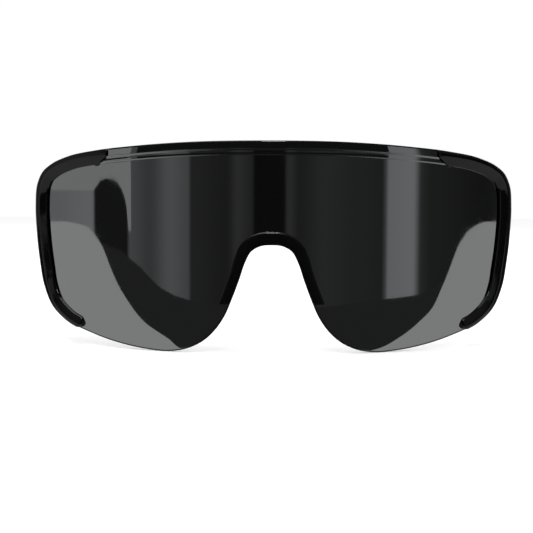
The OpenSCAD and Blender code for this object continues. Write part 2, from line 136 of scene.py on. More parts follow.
for stop, (degrees, tone) in enumerate(wall_tones):
    if stop > 1:
        wall.color_ramp.elements.new(1)
    element = wall.color_ramp.elements[stop]
    element.position = 0.5 + degrees / 360
    element.color = (tone, tone, tone * 1.03, 1)
height = add(tree, "ShaderNodeMapRange", {0: way["Z"], 1: fade_low, 2: fade_high},
             interpolation_type="SMOOTHSTEP")
tones = add(tree, "ShaderNodeMixRGB", {0: height, 1: wall, 2: (*[ceiling_tone] * 3, 1)})
mirrored = add(tree, "ShaderNodeMath", {0: ray["Is Glossy Ray"], 1: ray["Is Transmission Ray"]},
               operation="MAXIMUM")
plain = add(tree, "ShaderNodeBackground", {0: (1, 1, 1, 1), 1: daylight})
toned = add(tree, "ShaderNodeBackground", {0: tones, 1: 1})
white = add(tree, "ShaderNodeBackground", {0: (1, 1, 1, 1), 1: 1})
unseen = add(tree, "ShaderNodeMixShader", {0: mirrored, 1: plain, 2: toned})
seen = add(tree, "ShaderNodeMixShader", {0: ray["Is Camera Ray"], 1: unseen, 2: white})
add(tree, "ShaderNodeOutputWorld", {0: seen})


def paint(code):
    """A colour's sRGB hex code as a linear colour."""
    parts = [int(code[i:i + 2], 16) / 255 for i in (1, 3, 5)]
    return (*(p / 12.92 if p <= 0.04045 else ((p + 0.055) / 1.055) ** 2.4 for p in parts), 1)


def blank_material(name):
    """An empty material and its tree."""
    material = bpy.data.materials.new(name)
    material.use_nodes = True
    material.node_tree.nodes.clear()
    return material, material.node_tree


def stage_mesh(name, points, material):
    """A flat part of the studio."""
    mesh = bpy.data.meshes.new(name)
    mesh.from_pydata(points, [], [range(len(points))])
    mesh.materials.append(material)
    made = put(name, mesh)
    made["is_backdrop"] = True
    return made


# Table top: matt white board. The camera sees it a little over-lit, so that only shadows show on it.
table_half = 1500 * MM
table_glow = 0.37
board, tree = blank_material("matt white board")
shade = add(tree, "ShaderNodeBsdfDiffuse", {0: paint("#e6e6e6")})
glow = add(tree, "ShaderNodeEmission", {0: (1, 1, 1, 1), 1: table_glow})
lit = add(tree, "ShaderNodeAddShader", {0: shade, 1: glow})
eye = add(tree, "ShaderNodeLightPath").outputs["Is Camera Ray"]
seen = add(tree, "ShaderNodeMixShader", {0: eye, 1: shade, 2: lit})
add(tree, "ShaderNodeOutputMaterial", {0: seen})
corners = [(-1, -1), (1, -1), (1, 1), (-1, 1)]
table = stage_mesh("table", [(x * table_half, y * table_half, 0) for x, y in corners], board)
table.visible_glossy = False


def smooth(line, resolution):
    """A smooth curve through a line of places, but not through its first and last, which only steer it."""
    pulls = []
    for a, b, c in zip(line, line[1:], line[2:]):
        u, v = (b - a).length, (c - b).length
        pulls.append(((b - a) / u * v + (c - b) / v * u) / (u + v))
    curve = []
    for a, b, pull_a, pull_b in zip(line[1:], line[2:-1], pulls, pulls[1:]):
        reach = (b - a).length / 3
        curve += geometry.interpolate_bezier(a, a + pull_a * reach, b - pull_b * reach, b, resolution)[:-1]
    return curve + line[-2:-1]


def card(name, points, tone):
    """A flat part of the studio that is seen only in reflections, evenly of one tone."""
    grey, tree = blank_material(name)
    glow = add(tree, "ShaderNodeEmission", {0: (1, 1, 1, 1), 1: tone})
    add(tree, "ShaderNodeOutputMaterial", {0: glow})
    made = stage_mesh(name, points, grey)
    for kind in ("camera", "diffuse", "shadow"):
        setattr(made, f"visible_{kind}", False)


# What the mirror coat shows of the table: a white sheet whose front edge runs in to the glasses,
# so that the sheet's reflection fills only the lens's two lower corners.
sheet_front = ((-1345, 245), (-1374, 56), (-1328, -89), (-1140, -242), (-993, -266), (-848, -267),
               (-589, -244), (-379, -201), (-250, -169), (-161, -144), (-98, -121), (-49, -100), (-27, -84),
               (0, -76), (32, -83), (60, -95), (102, -108), (155, -118), (237, -135), (356, -153),
               (544, -172), (742, -181), (882, -171), (1030, -157), (1179, -114), (1337, -41), (1439, 59),
               (1440, 270))
sheet_back = ((95, -45), (0, -60), (-95, -45))
sheet_tone = 0.355
front, back = ([Vector((x * MM, y * MM, 0)) for x, y in line] for line in (sheet_front, sheet_back))
steered = [2 * front[0] - front[1], *front, 2 * front[-1] - front[-2]]
card("white sheet", smooth(steered, 9) + back, sheet_tone)

# A low light card stands at one side, cut out round below, with another one high over it. A dark card
# hangs over the camera, and a dark mat lies under the sheet, in front of the glasses and at both sides.
light_card = ((-1514, -409, 45), (-1507, -438, 50), (-1486, -504, 61), (-1464, -568, 64), (-1429, -654, 63),
              (-1402, -713, 58), (-1378, -758, 48), (-1360, -791, 35), (-1348, -812, 19), (-1335, -833, -20),
              (-1320, -860, -20), (-1320, -860, 95), (-1514, -408, 95), (-1556, -160, 95), (-1525, 300, 95),
              (-1530, 270, 45), (-1562, -33, 45))
high_card = ((-1320, -860, 180), (-1320, -860, 460), (-1514, -408, 460), (-1514, -408, 180))
dark_card = ((-1250, -900, 140), (1150, -1150, 140), (1150, -1150, 700), (-1250, -900, 700))
dark_mat = ((-700, -260), (-523, -322), (-417, -302), (-331, -287), (-245, -255), (-189, -233),
            (-141, -219), (-83, -212), (0, -214), (103, -208), (153, -196), (204, -166), (500, -90),
            (1400, 100), (1440, 300), (330, 400), (95, -45), (0, -60), (-95, -45), (-330, 400),
            (-1345, 300), (-1300, 0))
mat_z = -0.5
for name, places, tone in (("light card", light_card, 0.25), ("high light card", high_card, 0.25),
                           ("dark card", dark_card, 0.008),
                           ("dark mat", [(x, y, mat_z) for x, y in dark_mat], 0.022)):
    card(name, [Vector(place) * MM for place in places], tone)


def lamp(name, place, aim, size, power):
    """A square soft lamp that faces a point."""
    light = bpy.data.lights.new(name, "AREA")
    light.size = size
    light.energy = power
    made = put(name, light)
    made.location = place
    made.rotation_euler = (Vector(aim) - Vector(place)).to_track_quat("-Z", "Y").to_euler()


lamp("overhead lamp", (-150 * MM, -100 * MM, 800 * MM), (0, 0, 0), 600 * MM, 3.2)
lamp("rear lamp", (250 * MM, 700 * MM, 500 * MM), (0, 0, 0), 400 * MM, 1.6)
# A small one over the camera, which leaves a glint on each rim and on the nose bridge
lamp("glint lamp", (0, -750 * MM, 700 * MM), (0, 0, 0), 130 * MM, 1.3)

# Lens: one piece of 2 mm smoked polycarbonate, injection moulded as part of an upright cylinder with a
# stepped ledge along its top edge. A vapour-deposited mirror coat covers its front, but not its edges and
# its back.
wrap_r = 96 * MM
lens_t = 2 * MM
half_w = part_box("left_rim")[1].x
front_h = lens_high.z
notch_w = 60.4 * MM
notch_h = 31.2 * MM
# Outer edge from the middle of the top round the side to a lobe, in shares of half the width and the height
edge_shares = ((0, 1), (0.306, 0.995), (0.546, 0.978), (0.698, 0.961), (0.834, 0.933), (0.913, 0.898),
               (0.96, 0.859), (0.989, 0.799), (1, 0.691), (0.995, 0.559), (0.979, 0.406), (0.956, 0.28),
               (0.915, 0.183), (0.848, 0.116), (0.718, 0.058), (0.588, 0.021), (0.483, 0.004))
# Nose opening from a lobe up to its middle, in shares of half its width and of its height
notch_shares = ((1, 0), (0.814, 0.032), (0.648, 0.112), (0.53, 0.221), (0.447, 0.34), (0.378, 0.494),
                (0.305, 0.683), (0.248, 0.843), (0.191, 0.942), (0.09, 0.994), (0, 1))


def edge_curve(resolution=33):
    """The smooth outline of one half of the front, at its true size, and the places that it runs through."""
    places = [Vector((x * half_w, 0, z * front_h)) for x, z in edge_shares]
    places += [Vector((x * notch_w / 2, 0, z * notch_h)) for x, z in notch_shares]
    before, after = (Vector((-p.x, 0, p.z)) for p in (places[1], places[-2]))
    curve = np.array([(p.x, p.z) for p in smooth([before, *places, after], resolution)])
    low, tall = curve[:, 1].min(), np.ptp(curve[:, 1])
    scale = np.array([half_w / curve[:, 0].max(), front_h / tall])
    return (curve - (0, low)) * scale, (np.array([(p.x, p.z) for p in places]) - (0, low)) * scale


edge, edge_places = edge_curve()
run = np.concatenate([[0], np.cumsum(np.linalg.norm(np.diff(edge, axis=0), axis=1))])
edge_l = run[-1]
slope = np.gradient(edge, axis=0)
slope /= np.linalg.norm(slope, axis=1)[:, None]
widest, lowest = edge[:, 0].argmax(), edge[:, 1].argmin()


def edge_at(u, w=0.0):
    """The place in front view at the length u along the edge from the middle of the top, and w in from it."""
    side = -1 if u < 0 or u > edge_l else 1
    u = 2 * edge_l - u if u > edge_l else abs(u)
    x, z, dx, dz = (np.interp(u, run, column) for column in (*edge.T, *slope.T))
    long = math.hypot(dx, dz)
    return side * (x + w * dz / long), z - w * dx / long


def wrapped(x, z, proud=0.0):
    """The point of a place in front view, so far in front of the lens's cylindrical face."""
    r = wrap_r + proud
    return Vector((x, lens_face_y + wrap_r - math.sqrt(r * r - x * x), z))


def stations(start, stop, step, marks=()):
    """Lengths from start to stop about a step apart, with the marks among them."""
    found = [start]
    for mark in [*sorted(marks), stop]:
        count = max(1, round((mark - found[-1]) / step))
        found += [found[-1] + (mark - found[-1]) * k / count for k in range(1, count + 1)]
    return found


# Where the rims start and end along the edge, and where the nose bridge's legs end. A rim's upper end is
# upright over the ledge's upper face and cut back below it. Its lower end is round.
rim_top_share = 0.652
rim_low_share = 0.38
rim_top_w = 4.2 * MM
rim_end_w = 3.6 * MM
rim_cut = (0.98 * rim_top_w, 1.55 * rim_top_w)
rim_hook = 0.76 * rim_top_w
cut_fade = 9 * MM
bridge_low_z = 14.3 * MM
rim_start = float(np.interp(rim_top_share * half_w, edge[:widest, 0], run[:widest]))
low_a, low_b = edge_places[13:15]
low_place = low_a + rim_low_share * (low_b - low_a)
rim_bend = float(np.interp(-low_place[0], -edge[widest:lowest, 0], run[widest:lowest]))
leg_stop = float(np.interp(bridge_low_z, edge[lowest:, 1], run[lowest:]))
seam = 0.05 * MM
fit = 0.05 * MM
rim_web = 1.1 * MM
bridge_web = 1.2 * MM

# Section of the ledge from the lens's face up to its top edge: how far in from the edge, and how far proud
ledge_section = ((4.3, 0), (4.16, 0), (4.08, 0.02), (4.02, 0.1), (3.97, 0.34), (3.92, 0.44), (3.82, 0.48),
                 (3.72, 0.475), (2.8, 0.41), (2.7, 0.42), (2.62, 0.5), (2.47, 1.0), (2.4, 1.12), (2.26, 1.18),
                 (2.12, 1.175), (0.46, 1.055), (0.34, 1.04), (0.16, 0.98), (0.05, 0.88), (0, 0.7))
edge_round = 0.45 * MM
# Width of the strip along the edge below the ledge: at the rim's upper end, at its lower end, just past it,
# where the nose bridge starts and under the bridge
strip_w = (4.3 * MM, 2 * MM, 1.2 * MM, 1.2 * MM, 2.2 * MM)
groove_fade = 3 * MM
lens_step = 0.7 * MM
face_step = 2 * MM


def upper_cut(w):
    """How far along the edge a rim's upper end lies back, w in from the edge."""
    x, z = edge_at(rim_start)
    at_x, at_z = (a - b for a, b in zip(edge_at(rim_start, MM), (x, z)))
    in_x, in_z = at_x / MM, at_z / MM
    on_x, on_z = -in_z, in_x
    slant = rim_hook / (rim_cut[1] - rim_cut[0])
    upright = -in_x * w / on_x
    cut_back = (slant * (front_h - rim_cut[0] - z - in_z * w) - in_x * w) / (on_x + slant * on_z)
    return max(upright, cut_back)


def beside_cut(u, w):
    """The length u along the edge, shifted at w in from it as the sections turn into the upper end's cut."""
    fade = max(0.0, 1 - abs(abs(u) - rim_start) / cut_fade)
    return u + math.copysign(upper_cut(w) * fade, u)


def lens_section(u):
    """Places in and how far proud, from the front face round the lens's edge to its back, at the length u."""
    u = abs(u)
    count = len(ledge_section) - 3
    if u < rim_start:
        section = [(w * MM, proud * MM) for w, proud in ledge_section]
        inset = 0
    else:
        inset = float(np.interp(u - rim_bend, [0, seam, groove_fade], [rim_web, seam, 0]))
        if u > leg_stop:
            inset = bridge_web
        turns = [rim_start, rim_bend, rim_bend + groove_fade, leg_stop, leg_stop + groove_fade]
        wide = float(np.interp(u, turns, strip_w))
        flat = inset + edge_round
        section = [(wide + (flat - wide) * k / count, 0) for k in range(count + 1)]
        section += [(inset + 0.3 * edge_round, -0.3 * edge_round), (inset, -edge_round)]
    back = [(inset, edge_round - lens_t), (inset + 0.3 * edge_round, 0.3 * edge_round - lens_t)]
    return section + back + [(inset + edge_round, -lens_t), (inset + 3 * edge_round, -lens_t)]


def lens_skin():
    """Points and faces of the lens, its bare faces, and the points on its front (1) and its back (-1)."""
    marks = [side * (place + half * seam / 2) for side in (-1, 1) for place in (rim_start, rim_bend, leg_stop)
             for half in (-1, 1)]
    line = stations(-edge_l, edge_l, lens_step, marks)[:-1]
    sections = [lens_section(u) for u in line]
    count = len(sections[0])
    points, bare, faces = [], [], []
    for u, section in zip(line, sections):
        points += [wrapped(*edge_at(beside_cut(u, w), w), proud) for w, proud in section]
    total = len(line)
    for i, u in enumerate(line):
        coated = len(ledge_section) - (5 if abs(u) < rim_start - seam else 3)
        for k in range(count - 1):
            j = (i + 1) % total
            faces.append((i * count + k, j * count + k, j * count + k + 1, i * count + k + 1))
            bare.append(k >= coated)
    sides = {}
    for k, proud, back in ((0, 0.0, False), (count - 1, -lens_t, True)):
        r = wrap_r + proud
        ring = [i * count + k for i in range(total)]
        flat = [(r * math.asin(points[i].x / r), points[i].z) for i in ring]
        near = np.array(flat)
        grid = []
        for s in np.arange(-r * 0.9, r * 0.9, face_step):
            for z in np.arange(face_step / 2, front_h, face_step):
                if np.linalg.norm(near - (s, z), axis=1).min() > 0.45 * face_step:
                    grid.append((float(s), float(z)))
        spread = [Vector(p) for p in flat + grid]
        spots, _, triangles, origins, _, outlines = geometry.delaunay_2d_cdt(
            spread, [], [range(total)[::-1]], 1, 1e-9, True)
        index = {}
        for face, outline in zip(triangles, outlines):
            if not outline:
                continue
            for v in face:
                if v not in index:
                    first = origins[v][0]
                    if first < total:
                        index[v] = ring[first]
                    else:
                        s, z = spots[v]
                        index[v] = len(points)
                        points.append(wrapped(r * math.sin(s / r), z, proud))
                    sides[index[v]] = -1 if back else 1
            faces.append(tuple(index[v] for v in face))
            bare.append(back)
    return points, faces, bare, sides


def crisp(mesh, materials, sharp=math.radians(50)):
    """Turns a mesh's faces outwards, smooths them except at sharp bends and gives it these materials."""
    mesh.materials.clear()
    for material in materials:
        mesh.materials.append(material)
    shape = bmesh.new()
    shape.from_mesh(mesh)
    bmesh.ops.recalc_face_normals(shape, faces=shape.faces)
    for face in shape.faces:
        face.smooth = True
        face.material_index = 0
    for bend in shape.edges:
        bend.smooth = bend.calc_face_angle(0) < sharp
    shape.to_mesh(mesh)
    shape.free()


def skin_object(name, points, faces, materials):
    """A closed skin as an object."""
    mesh = bpy.data.meshes.new(name)
    mesh.from_pydata(points, [], faces)
    crisp(mesh, materials)
    return put(name, mesh)


# Flash mirror coat: a thin metal film on polished polycarbonate, which shows the studio in neutral grey
# at about half of its light, with faint waves from the mould and faint wiping marks.
mirror_coat, tree = blank_material("flash mirror coat")
spot = add(tree, "ShaderNodeTexCoord").outputs["Object"]
waves = add(tree, "ShaderNodeTexNoise", {"Vector": spot, "Scale": 1 / (14 * MM), "Detail": 1.0})
wiped = add(tree, "ShaderNodeTexNoise", {
    "Vector": spot, "Scale": 1 / (5 * MM), "Detail": 6.0, "Roughness": 0.7})
rough = add(tree, "ShaderNodeMapRange", {0: wiped, 1: 0.35, 2: 0.75, 3: 0.012, 4: 0.05})
wavy = add(tree, "ShaderNodeBump", {"Height": waves, "Strength": 1.0, "Distance": 0.006 * MM})
coat = add(tree, "ShaderNodeBsdfPrincipled", {
    "Base Color": paint("#c0c2c2"), "Metallic": 1.0, "Roughness": rough, "Normal": wavy})
add(tree, "ShaderNodeOutputMaterial", {0: coat})

# Smoked polycarbonate where the coat ends: black to the eye, glassy, with fine flow streaks in its gloss.
smoked, tree = blank_material("smoked polycarbonate")
spot = add(tree, "ShaderNodeTexCoord").outputs["Object"]
streaks = add(tree, "ShaderNodeTexNoise", {"Vector": spot, "Scale": 1 / (6 * MM), "Detail": 3.0})
rough = add(tree, "ShaderNodeMapRange", {0: streaks, 3: 0.04, 4: 0.1})
body = add(tree, "ShaderNodeBsdfPrincipled", {
    "Base Color": paint("#0a0b0c"), "IOR": 1.585, "Roughness": rough})
add(tree, "ShaderNodeOutputMaterial", {0: body})

points, faces, bare, sides = lens_skin()
lens = skin_object("lens_shield", points, faces, [mirror_coat, smoked])
lens.data.polygons.foreach_set("material_index", [int(b) for b in bare])
axis = Vector((0, lens_face_y + wrap_r, 0))
normals = [v.normal.copy() for v in lens.data.vertices]
for i, sign in sides.items():
    out = lens.data.vertices[i].co - axis
    normals[i] = sign * Vector((out.x, out.y, 0)).normalized()
lens.data.normals_split_custom_set_from_vertices(normals)
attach(lens, "front")
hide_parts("lens")

# Side rims: two C-shaped mouldings of glossy black nylon. Each grips the rebated edge of the lens from the
# slanted end beside the ledge round the side to a round end below, and carries a hinge on its end piece.
rim_side_w = 4.7 * MM
rim_proud = 1.6 * MM
rim_back = 1.4 * MM
rim_lip = 0.45 * MM
rim_lip_l = 2.4 * MM
rim_round = 0.4 * MM
rim_step = 0.8 * MM
# Front of a rim's section: share of its width in from the edge, and how far proud of the lens. It has a
# crest near its middle, slopes down inwards, and is rounded off at its inner edge.
rim_front = ((0, 0.3), (0, 0.84), (0.01, 1.0), (0.04, 1.2), (0.09, 1.37), (0.16, 1.49), (0.24, 1.57),
             (0.32, 1.6), (0.38, 1.585), (0.44, 1.51), (0.54, 1.33), (0.64, 1.15), (0.74, 0.97), (0.84, 0.79),
             (0.92, 0.64), (0.965, 0.53), (1, 0.35))
cap_round = 0.2 * MM


def rim_w(u):
    """Width of a rim, which widens to a small lip at its upper end."""
    z = edge_at(u)[1] / front_h
    wide = np.interp(z, [0.1, 0.35, 0.78, 0.93], [rim_end_w, rim_side_w, rim_side_w, rim_top_w])
    return float(wide) + rim_lip * max(0.0, 1 - (u - rim_start) / rim_lip_l)


def front_loop(front, wide, web, back, round_back):
    """A closed section that grips the lens: front profile, groove for the lens, and rounded back."""
    groove = web - seam
    loop = [(share * wide, proud * MM) for share, proud in front]
    loop += [(wide, seam), (groove, seam), (groove, -lens_t - seam), (wide, -lens_t - seam)]
    deep = -lens_t - back
    corner = ((0, 1), (0.3, 0.3), (1, 0))
    loop += [(wide - share * round_back, deep + cut * round_back) for share, cut in corner]
    return loop + [(share * round_back, deep + cut * round_back) for share, cut in corner[::-1]]


def pinched(loop, wide, thick):
    """A section drawn together about its middle, to these shares of its width and thickness."""
    ws, ds = zip(*loop)
    mid_w, mid_d = (min(ws) + max(ws)) / 2, (min(ds) + max(ds)) / 2
    return [(mid_w + (w - mid_w) * wide, mid_d + (d - mid_d) * thick) for w, d in loop]


def rounding(r, count=4):
    """Steps round an edge of radius r: how far on from the end, and how far in from the full size."""
    return [(r * (1 - math.cos(a)), r * (1 - math.sin(a))) for a in np.linspace(0, math.pi / 2, count)]


def loft(rings):
    """Points and faces of a closed skin over rings of equally many points, capped at both ends."""
    n = len(rings[0])
    points = [p for ring in rings for p in ring]
    faces = [(i * n + k, i * n + (k + 1) % n, (i + 1) * n + (k + 1) % n, (i + 1) * n + k)
             for i in range(len(rings) - 1) for k in range(n)]
    return points, faces + [tuple(range(n)), tuple(range(len(points) - n, len(points)))]


def rim_rings():
    """From the upper end to the round lower end, whose thickness is drawn in too."""
    end_r = rim_end_w / 2
    half_t = (lens_t + rim_back + rim_proud) / 2
    places = [(rim_start + on, 1 - less / half_t, 1 - less / half_t) for on, less in rounding(cap_round)]
    places += [(u, 1, 1) for u in stations(rim_start + rim_step, rim_bend, rim_step)]
    for a in np.linspace(0, math.pi / 2, 10)[1:]:
        wide, thick = max(0.12, math.cos(a) ** 0.6), 1 - 0.5 * (1 - math.cos(a))
        places.append((rim_bend + end_r * math.sin(a), wide, thick))
    rings = []
    for u, wide, thick in places:
        loop = pinched(front_loop(rim_front, rim_w(u), rim_web, rim_back, rim_round), wide, thick)
        rings.append([wrapped(*edge_at(beside_cut(u, w), w), proud) for w, proud in loop])
    return rings


# Polished black nylon: the mould's mirror finish, with faint orange peel and a few fine handling scuffs.
gloss_nylon, tree = blank_material("polished black nylon")
spot = add(tree, "ShaderNodeTexCoord").outputs["Object"]
peel = add(tree, "ShaderNodeTexNoise", {"Vector": spot, "Scale": 1 / (0.9 * MM), "Detail": 2.0})
scuffs = add(tree, "ShaderNodeTexNoise", {
    "Vector": spot, "Scale": 1 / (3 * MM), "Detail": 8.0, "Roughness": 0.75})
rough = add(tree, "ShaderNodeMapRange", {0: scuffs, 1: 0.4, 2: 0.8, 3: 0.05, 4: 0.14})
bump = add(tree, "ShaderNodeBump", {"Height": peel, "Strength": 0.5, "Distance": 0.01 * MM})
skin = add(tree, "ShaderNodeBsdfPrincipled", {
    "Base Color": paint("#040405"), "IOR": 1.53, "Roughness": rough, "Normal": bump})
add(tree, "ShaderNodeOutputMaterial", {0: skin})


def both_sides(name, points, faces, material):
    """The left piece, and the right one as its mirror image."""
    for side, sign in (("left", 1), ("right", -1)):
        flipped = [(sign * p[0], p[1], p[2]) for p in points]
        yield side, skin_object(f"{side}_{name}", flipped, faces, [material])


# The end piece stands on the back of the rim, as high as the temple that meets it
lug_t = 4.4 * MM
lug_h = 13 * MM
lug_l = 3 * MM
lug_corner = 0.8 * MM
lug_edge = ((0.3 * MM, 0), (0.1 * MM, 0.08 * MM), (0, 0.3 * MM))
hinge_z = 0.691 * front_h
lug_out = half_w - lug_t / 9
lug_in = lug_out - lug_t


def depth(x, proud):
    """The y at x of a cylinder so far proud of the lens's face."""
    return wrapped(x, 0, proud).y


hinge_y = depth(half_w, -lens_t - rim_back) + lug_l


def block_loop(x0, x1, z0, z1, r, count=5):
    """A rectangle with round corners."""
    centres = ((x1 - r, z1 - r), (x0 + r, z1 - r), (x0 + r, z0 + r), (x1 - r, z0 + r))
    loop = []
    for quarter, (x, z) in enumerate(centres):
        for k in range(count):
            a = (quarter + k / (count - 1)) * math.pi / 2
            loop.append((x + r * math.cos(a), z + r * math.sin(a)))
    return loop


def lug_rings():
    """From inside the rim's back to the end that the temple meets, whose edges are rounded."""
    low, top = hinge_z - lug_h / 2, hinge_z + lug_h / 2
    start = block_loop(lug_in, lug_out, low, top, lug_corner)
    rings = [[(x, depth(x, -lens_t - rim_back / 2), z) for x, z in start]]
    for before, less in lug_edge:
        loop = block_loop(lug_in + less, lug_out - less, low + less, top - less, lug_corner)
        rings.append([(x, hinge_y - before, z) for x, z in loop])
    return rings


def joined(*skins):
    """Several skins as one set of points and faces."""
    points, faces = [], []
    for more, sides in skins:
        faces += [tuple(i + len(points) for i in face) for face in sides]
        points += more
    return points, faces


points, faces = joined(loft(rim_rings()), loft(lug_rings()))
rims = {}
for side, rim in both_sides("side_rim", points, faces, gloss_nylon):
    rims[side] = rim
    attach(rim, "front")
    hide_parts(f"{side}_rim")

# Nose bridge: an arch of matt black nylon pushed on the edge of the nose opening, with a wing
# behind each leg that holds a pad. Its front edges are softly rounded.
bridge_top_w = 3.8 * MM
bridge_leg_w = 3.2 * MM
bridge_proud = 0.8 * MM
bridge_back = 1.3 * MM
bridge_round = 0.35 * MM
leg_edge = 0.3 * MM
leg_fade = 7 * MM
bridge_front = ((0, 0.1), (0, 0.45), (0.035, 0.62), (0.1, 0.75), (0.2, 0.8), (0.5, 0.8), (0.78, 0.8),
                (0.88, 0.76), (0.95, 0.66), (0.99, 0.5), (1, 0.3))
wing_d = 7.5 * MM
wing_h = 9 * MM
wing_t = 1.2 * MM
pad_t = 3.2 * MM
pad_splay = math.radians(24)


def bridge_rings():
    """From one leg's end, cut level and with rounded edges, over the arch to the other's."""
    x0, z0, x1, z1 = *edge_at(leg_stop - 0.5 * MM), *edge_at(leg_stop + 0.5 * MM)
    cut = (x1 - x0) / (z1 - z0)
    half_t = (lens_t + bridge_back + bridge_proud) / 2
    places = [(leg_stop + on, 1 - less / half_t) for on, less in rounding(leg_edge)]
    places += [(u, 1) for u in stations(leg_stop + 2 * leg_edge, edge_l, lens_step)]
    places += [(2 * edge_l - u, share) for u, share in places[-2::-1]]
    rings = []
    for u, share in places:
        wide = float(np.interp(edge_at(u)[1], [0.75 * notch_h, notch_h], [bridge_leg_w, bridge_top_w]))
        loop = pinched(front_loop(bridge_front, wide, bridge_web, bridge_back, bridge_round), share, share)
        fade = max(0.0, 1 - (min(u, 2 * edge_l - u) - leg_stop) / leg_fade)
        slant = cut * fade * (1 if u < edge_l else -1)
        rings.append([wrapped(*edge_at(u + slant * w, w), proud) for w, proud in loop])
    return rings


# Where a wing stands behind its leg, leaning with the leg and opening towards the face
leg_a, leg_b = (edge_places[len(edge_shares) + k] for k in (5, 7))
leg_lean = math.atan2(leg_a[0] - leg_b[0], leg_b[1] - leg_a[1])
wing_x = (leg_a[0] + leg_b[0]) / 2 + bridge_leg_w / 2
wing_z = (leg_a[1] + leg_b[1]) / 2 + pad_t / 2
pad_place = (Matrix.Translation((wing_x, depth(wing_x, -lens_t - bridge_back), wing_z))
             @ Matrix.Rotation(-leg_lean, 4, "Y") @ Matrix.Rotation(-pad_splay, 4, "Z"))


def wing_rings(sign):
    """From inside a leg's back to the wing's free end, on the left (1) or the right (-1)."""
    rings = []
    for y, less in ((-bridge_back / 2, 0), (wing_d - 0.2 * MM, 0), (wing_d, 0.2 * MM)):
        t, h = wing_t / 2 - less, wing_h / 2 - less
        ring = [pad_place @ Vector((x, y, z)) for x, z in block_loop(-t, t, -h, h, bridge_round)]
        rings.append([(sign * p.x, p.y, p.z) for p in ring])
    return rings


# Matt nylon: spark-eroded mould texture of about 0.05 mm grain, drawn at 0.12 mm so that it shows,
# which breaks the light up and leaves only a soft sheen along the edges.
matt_nylon, tree = blank_material("matt black nylon")
spot = add(tree, "ShaderNodeTexCoord").outputs["Object"]
grain = add(tree, "ShaderNodeTexNoise", {"Vector": spot, "Scale": 1 / (0.12 * MM), "Detail": 2.0})
cloud = add(tree, "ShaderNodeTexNoise", {"Vector": spot, "Scale": 1 / (4 * MM), "Detail": 3.0})
rough = add(tree, "ShaderNodeMapRange", {0: cloud, 3: 0.17, 4: 0.26})
bump = add(tree, "ShaderNodeBump", {"Height": grain, "Strength": 0.35, "Distance": 0.02 * MM})
skin = add(tree, "ShaderNodeBsdfPrincipled", {
    "Base Color": paint("#040405"), "IOR": 1.53, "Roughness": rough, "Normal": bump})
add(tree, "ShaderNodeOutputMaterial", {0: skin})

points, faces = joined(loft(bridge_rings()), loft(wing_rings(1)), loft(wing_rings(-1)))
bridge = skin_object("nose_arch", points, faces, [matt_nylon])
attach(bridge, "front")
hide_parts("nose_bridge")

# Nose pads: soft silicone cushions of rounded trapezoid shape, pushed on the bridge's wings.
# Each is the hull of four balls, two at the front and two closer together towards the face.
pad_h = 15 * MM
pad_r = pad_t / 2


def pad_skin():
    """Points, faces and exact normals of a pad."""
    balls = [Vector((0, pad_t / 5 + pad_r, side * (pad_h / 2 - pad_r))) for side in (-1, 1)]
    balls += [Vector((0, wing_d + pad_r / 2, side * (pad_h / 3 - pad_r / 2))) for side in (-1, 1)]
    shape = bmesh.new()
    for ball in balls:
        for tall in np.linspace(-math.pi / 2, math.pi / 2, 17):
            for turn in np.arange(0, math.tau, math.tau / 32):
                flat = math.cos(tall) * pad_r
                way = Vector((flat * math.cos(turn), flat * math.sin(turn), math.sin(tall) * pad_r))
                shape.verts.new(ball + way)
    bmesh.ops.remove_doubles(shape, verts=shape.verts, dist=fit / 10)
    bmesh.ops.convex_hull(shape, input=shape.verts)
    bmesh.ops.delete(shape, geom=[v for v in shape.verts if not v.link_faces], context="VERTS")
    shape.verts.index_update()
    points = [v.co.copy() for v in shape.verts]
    faces = [tuple(v.index for v in f.verts) for f in shape.faces]
    normals = [(p - min(balls, key=lambda ball: (p - ball).length)).normalized() for p in points]
    shape.free()
    turned = pad_place.to_3x3()
    return [pad_place @ p for p in points], faces, [turned @ n for n in normals]


# Black silicone: soft and slightly milky, with a waxy sheen and fine dust in its surface.
silicone, tree = blank_material("black silicone")
spot = add(tree, "ShaderNodeTexCoord").outputs["Object"]
dust = add(tree, "ShaderNodeTexNoise", {"Vector": spot, "Scale": 1 / (0.4 * MM), "Detail": 4.0})
rough = add(tree, "ShaderNodeMapRange", {0: dust, 3: 0.38, 4: 0.55})
skin = add(tree, "ShaderNodeBsdfPrincipled", {
    "Base Color": paint("#141415"), "IOR": 1.41, "Roughness": rough,
    "Subsurface Weight": 0.1, "Subsurface Scale": 0.5 * MM})
add(tree, "ShaderNodeOutputMaterial", {0: skin})

points, faces, normals = pad_skin()
for side, pad in both_sides("pad_cushion", points, faces, silicone):
    flip = Vector((1 if side == "left" else -1, 1, 1))
    pad.data.normals_split_custom_set_from_vertices([n * flip for n in normals])
    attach(pad, "front")
    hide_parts(f"{side}_nose_pad")

# Temples: side arms moulded from the rims' polished black nylon. Each is as high as the end piece at the
# hinge, tapers to the neck of its rubber tip, and goes on inside the tip as a narrow tongue.
knuckle_r = 1.55 * MM
butt_gap = 0.2 * MM
temple_l = 84 * MM
temple_slope = math.radians(8)
temple_in = math.radians(3)
bend_r = 30 * MM
tail_slope = math.radians(42)
bare_l = 68 * MM
neck_h = 7.4 * MM
neck_t = 3.2 * MM
tip_h = 8.4 * MM
tip_t = 4.2 * MM
tip_end_r = 3.7 * MM
arm_corner = 1.1 * MM
arm_edge = 0.3 * MM
arm_step = 1.5 * MM
cut_l = 14 * MM
tongue_corner = 0.4 * MM
tongue_step = 5 * MM
hinge_x = lug_in - knuckle_r - fit
temple_x = (lug_in + lug_out) / 2 - hinge_x
temple_place = Matrix.Translation((hinge_x, hinge_y, hinge_z)) @ Matrix.Rotation(temple_in, 4, "Z")


